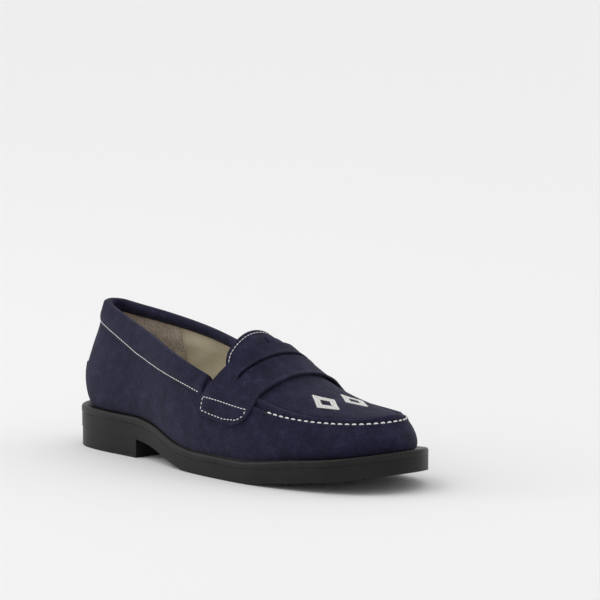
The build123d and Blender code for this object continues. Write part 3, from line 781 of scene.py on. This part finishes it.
def table(values, x, p):
    """Bilinear look-up at x and at path place p, from 0 to 120."""
    fx = np.clip((x - ARCH_X[0]) / (ARCH_X[1] - ARCH_X[0]), 0, len(ARCH_X) - 1.001)
    fp = np.clip(p, 0, 119.999)
    i, j = fx.astype(int), fp.astype(int)
    a, b = (fx - i)[..., None], (fp - j)[..., None]
    near = values[i, j] * (1 - b) + values[i, j + 1] * b
    far = values[i + 1, j] * (1 - b) + values[i + 1, j + 1] * b
    return near * (1 - a) + far * a


def arch_point(x, p, off):
    """Point on the arch, moved out by off."""
    x, p, off = np.broadcast_arrays(x, p, off)
    x = x.astype(float)
    p = p.astype(float)
    yz = table(ARCHES, x, p) + off[..., None] * table(NORMALS, x, p)
    return np.concatenate([x[..., None], yz], -1)


def edge_x(points, rows, guess):
    """x of an outline, given in side view as (z, x), on each arch row."""
    z_list, x_list = np.array(points, float).T
    x = np.full(len(rows), float(guess))
    for _ in range(40):
        z = table(ARCHES, x, rows)[:, 1]
        x = 0.6 * x + 0.4 * np.interp(z, z_list, x_list)
    window = np.hanning(13)[1:-1]
    padded = np.r_[np.full(5, x[0]), x, np.full(5, x[-1])]
    return np.convolve(padded, window / window.sum(), "valid")


# Side views, as (z, x), of the strap's two edges and the middle of its slit.
REAR = [(36.5, 26), (37.2, 18), (38.4, 12.4), (40.2, 10), (44, 9.4), (49.9, 10.2), (53, 12.6), (59, 15.4),
        (66, 19.6), (73.3, 24.6), (78.5, 30.0), (82, 31.8), (86, 32.2)]
FRONT = [(35.8, 41), (36.4, 46), (37.6, 49.6), (39.5, 52.2), (43, 54.9), (47, 55.6), (50.6, 54.9),
         (53.5, 54.6), (56.9, 56.7), (61.6, 58.8), (65, 59.2), (68, 58.2)]
SLIT_AT = [(50, 33.6), (60.8, 34.4), (66, 35.6), (70.9, 39.0), (75, 41.8), (78, 42.2)]
SLIT_END_Z = 60.5

middle_z = table(ARCHES, np.full(121, 30.0), np.arange(121.0))[:, 1]
first_row = float(np.interp(36.9, middle_z[:50], np.arange(50)))
last_row = float(np.interp(-36.9, -middle_z[70:], np.arange(70, 121)))
rows = np.linspace(first_row, last_row, 230)
rear_x = edge_x(REAR, rows, 20)
front_x = edge_x(FRONT, rows, 52)
slit_x = edge_x(SLIT_AT, rows, 38)
slit_z = table(ARCHES, slit_x, rows)[:, 1]
open_slit = smooth_step(slit_z, SLIT_END_Z, SLIT_END_Z + 3.5)
half_slit = 0.12 + 1.05 * open_slit
REAR_COLUMNS = 22
FRONT_COLUMNS = 18
rear_share = np.linspace(0, 1, REAR_COLUMNS)
front_share = np.linspace(0, 1, FRONT_COLUMNS)
x_rear_part = rear_x[:, None] + rear_share * (slit_x - half_slit - rear_x)[:, None]
slit_rear = (slit_x - half_slit)[:, None]
slit_front = (slit_x + half_slit)[:, None]
x_front_part = slit_front + front_share * (front_x - slit_x - half_slit)[:, None]
strap_x = np.concatenate([x_rear_part, x_front_part], 1)
to_front = front_x[:, None] - strap_x
to_slit = np.minimum(abs(strap_x - slit_rear), abs(strap_x - slit_front))
top_part = smooth_step(slit_z, 52, 66)[:, None]
raised = STRAP_OFF + STRAP + 0.25 * top_part
front_roll = top_part * 0.7 * np.exp(-(to_front / 2.5)**2)
slit_roll = 0.55 * open_slit[:, None] * np.exp(-(to_slit / 2.0)**2)
raised = raised + front_roll + slit_roll
grid = arch_point(strap_x, rows[:, None], raised)
grid[..., 2] += 0.6 * wander(grid, 0.2, 33.0)


def strap_face(i, j):
    """Leave out the faces that the slit opens."""
    return not (j == REAR_COLUMNS - 1 and slit_z[i] > SLIT_END_Z and slit_z[i + 1] > SLIT_END_Z)


strap = skin("saddle_strap_suede", grid, STRAP, NAVY, keep=strap_face)
finish_piece(strap, "navy_suede", "saddle_strap")


def strap_line(x_values, p_values, lift=0.05):
    """Points and normals of a stitch line on the strap."""
    points = arch_point(x_values, p_values, np.full(len(x_values), STRAP_OFF + STRAP + lift))
    above = arch_point(x_values, p_values, np.full(len(x_values), STRAP_OFF + STRAP + lift + 1.0))
    return points, unit(above - points)


def row_at(x, z, inner):
    """Arch row that passes through height z at x."""
    heights = table(ARCHES, np.full(121, float(x)), np.arange(121.0))[:, 1]
    if inner:
        return float(np.interp(-z, -heights[70:], np.arange(70, 121)))
    return float(np.interp(z, heights[:50], np.arange(50)))


BOX_CORNERS = [(13.2, 50.3), (52.4, 45.6), (51.6, 42.0), (46.5, 39.2), (35, 38.8), (23, 40.4), (12.8, 42.2),
               (13.2, 50.3)]
box_ends = []
box_normals = []
for inner in (False, True):
    corners = [(x, row_at(x, z, inner)) for x, z in BOX_CORNERS]
    for (x0, p0), (x1, p1) in zip(corners, corners[1:]):
        ends, ups = along_line(*strap_line(np.linspace(x0, x1, 24), np.linspace(p0, p1, 24)), 2.6, 1.9)
        box_ends += ends
        box_normals += ups
finish_piece(stitches("strap_box_stitches", box_ends, box_normals, 0.30), "white_thread", "strap_stitching")

# ---------------------------------------------------------------- tongue
FREE_EDGE = [(66, 22.5), (68.5, 20.0), (71, 18.2), (73.7, 16.6), (78.6, 14.9), (84, 15.2), (93, 15.4)]
ROOT_X = 37.0
heights = table(ARCHES, np.full(121, 20.0), np.arange(121.0))[:, 1]
tongue_first = float(np.interp(68.3, heights[:60], np.arange(60)))
tongue_last = float(np.interp(-68.3, -heights[61:], np.arange(61, 121)))
tongue_rows = np.linspace(tongue_first, tongue_last, 130)
free_x = edge_x(FREE_EDGE, tongue_rows, 17)
tongue_share = np.linspace(0, 1, 30)
tongue_x = free_x[:, None] + tongue_share * (ROOT_X - free_x)[:, None]
from_free = tongue_x - free_x[:, None]


def tongue_skin(name, off, thickness, material, slot, node):
    flare = 0.5 * np.exp(-(from_free / 3.0)**2)
    layer = arch_point(tongue_x, tongue_rows[:, None], off + flare)
    piece = skin(name, layer, thickness, material)
    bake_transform(piece)
    finish_piece(piece, slot, node, body=None)


tongue_skin("tongue_suede", TONGUE_OFF, TONGUE, NAVY, "navy_suede", "tongue")
tongue_skin("tongue_lining_skin", TONGUE_OFF - TONGUE - 0.05, TONGUE_LINING, CREAM, "cream_leather",
            "tongue_lining")
line_rows = np.linspace(tongue_first + 2, tongue_last - 2, 120)
line_x = np.interp(line_rows, tongue_rows, free_x) + 2.6
line_points = arch_point(line_x, line_rows, np.full(120, TONGUE_OFF + 0.28))
line_up = unit(arch_point(line_x, line_rows, np.full(120, TONGUE_OFF + 1.28)) - line_points)
finish_piece(stitches("tongue_stitches", *along_line(line_points, line_up, 2.6, 1.9), 0.30), "white_thread",
             "tongue_stitching", body=TONGUE_BODY)

# ---------------------------------------------------------------- embroidered lozenges
LOZENGES = [(91.0, -13.0), (97.0, 6.0)]
HALF_X = 13.0
HALF_Y = 7.5
THREAD_PITCH = 0.62
satin_ends = []
satin_up = []
for cx, cy in LOZENGES:
    for x in np.arange(-HALF_X + 0.8, HALF_X - 0.7, THREAD_PITCH):
        half = HALF_Y * (1 - abs(x) / HALF_X)
        hollow = 3.2 * max(0.0, 1 - abs(x) / 5.5)
        spans = [(-half, half)] if hollow == 0 else [(-half, -hollow), (hollow, half)]
        for low_y, high_y in spans:
            cut = np.linspace(low_y, high_y, 3)
            for y0, y1 in zip(cut, cut[1:]):
                ends = [np.array([cx + x, cy + y, instep_height(cx + x, cy + y) + 0.22]) for y in (y0, y1)]
                satin_ends.append(ends)
                satin_up.append(np.array([0.1, 0.0, 1.0]))
lozenges = stitches("embroidered_lozenges", satin_ends, satin_up, 0.36, sides=6)
finish_piece(lozenges, "white_thread", "embroidered_motif")


# ---------------------------------------------------------------- welt
def welt_ring(s):
    """Closed section of the welt: (inset, height above the outsole's underside)."""
    f = float(feather(s))
    return [(0.05, OUTSOLE + 0.05), (-0.1, OUTSOLE + 0.6), (-0.1, 12.4), (0.1, 13.2), (0.55, 13.85),
            (1.2, 14.2), (1.9, 14.25), (f * 0.6, 14.05), (f - 0.9, 13.75), (f + 0.2, 13.45),
            (f + 1.4, 13.8), (f + 3, 14.2), (f + 8.5, 14.2), (f + 8.5, OUTSOLE + 0.1)]


rings = []
for s_at in np.linspace(0, 1, 420, endpoint=False):
    ring = []
    for inset, height in welt_ring(s_at):
        x, y = inset_edge(s_at, inset)
        ring.append((x, y, sole_bottom(x) + height))
    rings.append(ring)
# Its lighter rubber is a painted highlight along the top of the sole.
welt = tube("rubber_welt", np.array(rings, float)[:, ::-1], WELT_RUBBER_PAINTED_HIGHLIGHT, closed=True)
finish_piece(welt, "black_rubber", "welt")

# ---------------------------------------------------------------- CAD nodes that stay
KEPT = {"outsole": RUBBER, "heel_block": RUBBER, "heel_nails": STEEL, "steel_shank": STEEL,
        "cork_filler": CORK, "insole_board": BOARD, "heel_counter": BOARD, "toe_puff": BOARD,
        "heel_pad": FOAM, "sock_lining": CREAM}
for node, material in KEPT.items():
    kept = bpy.data.objects[node]
    for slot in kept.material_slots:
        slot.material = material

# ---------------------------------------------------------------- floor, light and camera
floor_mesh = bpy.data.meshes.new("floor")
floor_mesh.from_pydata([(-40, -40, 0), (40, -40, 0), (40, 40, 0), (-40, 40, 0)], [], [(0, 1, 2, 3)])
floor = bpy.data.objects.new("floor", floor_mesh)
bpy.context.scene.collection.objects.link(floor)
pale, _, _, _ = nodes_of("pale_floor", 0.9, (0.86, 0.86, 0.86))
floor_mesh.materials.append(pale)


def look(direction):
    """Rotation that looks along a direction with its top upright."""
    return Vector(direction.tolist()).to_track_quat("-Z", "Y")


def toward(azimuth, elevation):
    """Unit vector from the target to a camera at these angles."""
    return np.array([math.sin(azimuth) * math.cos(elevation), -math.cos(azimuth) * math.cos(elevation),
                     math.sin(elevation)])


def area_light(name, place, aim, size, power):
    """A square soft light."""
    light = bpy.data.lights.new(name, "AREA")
    light.size = size
    light.energy = power
    lamp = bpy.data.objects.new(name, light)
    bpy.context.scene.collection.objects.link(lamp)
    lamp.location = place
    lamp.rotation_mode = "QUATERNION"
    lamp.rotation_quaternion = look(np.array(aim, float) - np.array(place, float))


world = bpy.data.worlds.new("studio")
bpy.context.scene.world = world
world.use_nodes = True
world.node_tree.nodes["Background"].inputs["Color"].default_value = (0.88, 0.88, 0.88, 1)
world.node_tree.nodes["Background"].inputs["Strength"].default_value = 1.0
sun_data = bpy.data.lights.new("key_sun", "SUN")
sun_data.energy = 0.42
sun_data.angle = math.radians(35)
sun = bpy.data.objects.new("key_sun", sun_data)
bpy.context.scene.collection.objects.link(sun)
sun.rotation_mode = "QUATERNION"
sun.rotation_quaternion = look(np.array([0.35, 0.55, -1.0]))
area_light("side", (-1.4, -1.2, 0.8), (0, 0, 0.05), 0.7, 5)

AZIMUTH = math.radians(48.13)
ELEVATION = math.radians(8.66)
TARGET = np.array([0.001, 0.001, 0.040])
DISTANCE = 3.5
LENS = 326.2
FOCAL = LENS / 36 * 600
SHIFT_X = (246.9 - 300) / FOCAL       # where the target sits in the frame, as an angle
SHIFT_Y = (403.65 - 300) / FOCAL
camera_data = bpy.data.cameras.new("camera")
camera_data.lens = LENS
camera_data.sensor_width = 36
camera_data.clip_end = 200
camera = bpy.data.objects.new("camera", camera_data)
bpy.context.scene.collection.objects.link(camera)
camera.location = (TARGET + DISTANCE * toward(AZIMUTH, ELEVATION)).tolist()
aim_e = ELEVATION - math.atan(SHIFT_Y)
aim_a = AZIMUTH + math.atan(SHIFT_X) / math.cos(aim_e)
camera.rotation_mode = "QUATERNION"
camera.rotation_quaternion = look(-toward(aim_a, aim_e))
bpy.context.scene.camera = camera
bpy.context.scene.view_settings.view_transform = "Standard"
